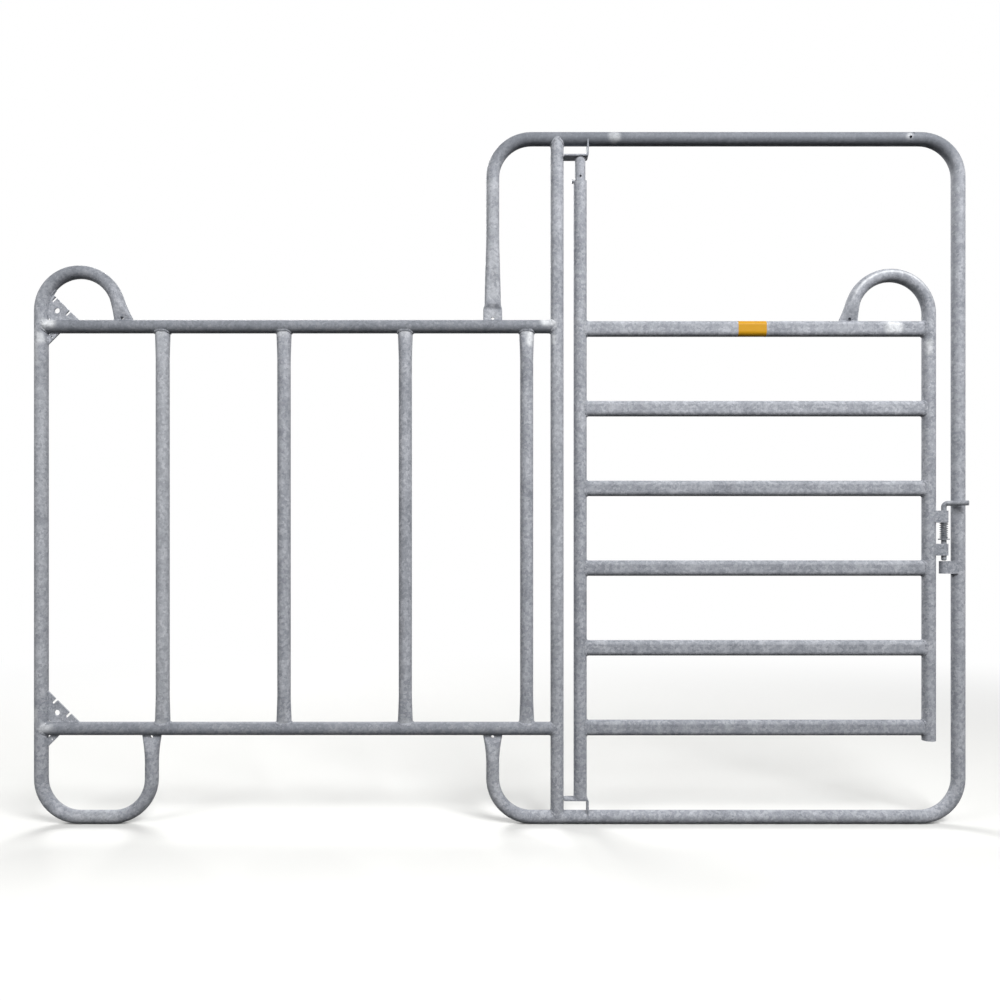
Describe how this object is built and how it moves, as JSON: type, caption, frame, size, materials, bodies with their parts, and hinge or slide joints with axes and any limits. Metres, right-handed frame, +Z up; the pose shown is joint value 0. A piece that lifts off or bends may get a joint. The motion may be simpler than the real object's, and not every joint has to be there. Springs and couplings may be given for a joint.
{
  "type": "livestock panel with gate",
  "caption": "Galvanised tube livestock panel with upright feed bars beside a tall gate frame, and a hinged tube gate closed by a spring bolt.",
  "frame": {"origin": "on the front face of the lower chain plate at the panel's left post, between its round hole and its slanted edge", "axes": "+X along the panel towards the latch post, +Y to the back through the panel, +Z up"},
  "size_m": [3, 0.0773, 2.228],
  "materials": {
    "galvanised_tube": "hot-dip galvanised, matt with faint spangle",
    "zinc_fittings": "hot-dip galvanised, a little brighter"
  },
  "bodies": {
    "frame": {"left_post": "galvanised_tube", "panel_top_rail": "galvanised_tube", "panel_bottom_rail": "galvanised_tube", "panel_bar_1": "galvanised_tube", "panel_bar_2": "galvanised_tube", "panel_bar_3": "galvanised_tube", "panel_bar_4": "galvanised_tube", "gate_frame": "galvanised_tube", "hinge_post": "galvanised_tube", "upper_chain_plate": "galvanised_tube", "lower_chain_plate": "galvanised_tube", "upper_corner_plate": "galvanised_tube", "lower_corner_plate": "galvanised_tube", "top_hinge_bracket": "galvanised_tube", "top_hinge_pin": "zinc_fittings", "bottom_hinge_bracket": "galvanised_tube", "bottom_hinge_pin": "zinc_fittings", "latch_keeper": "galvanised_tube"},
    "gate": {"hinge_stile": "galvanised_tube", "hinge_spindle": "galvanised_tube", "spindle_pin": "zinc_fittings", "gate_rail_1": "galvanised_tube", "gate_rail_2": "galvanised_tube", "gate_rail_3": "galvanised_tube", "gate_rail_4": "galvanised_tube", "gate_rail_5": "galvanised_tube", "gate_rail_6": "galvanised_tube", "latch_stile": "galvanised_tube", "upper_bolt_guide": "galvanised_tube", "lower_bolt_guide": "galvanised_tube", "latch_spring": "zinc_fittings"},
    "bolt": {"latch_bolt": "zinc_fittings", "bolt_washer": "zinc_fittings"}
  },
  "joints": [
    {"name": "gate_swing", "type": "hinge", "parent": "frame", "child": "gate", "pos_m": [1.67375, 0.003, 0], "axis": [0, 0, -1], "range_deg": [0, 140]},
    {"name": "bolt_lift", "type": "slide", "parent": "gate", "child": "bolt", "axis": [0, 0, 1], "range_m": [-0.012, 0.016], "stiffness_N_per_m": 600, "springref_m": -0.05, "deforming": ["latch_spring"]}
  ]
}
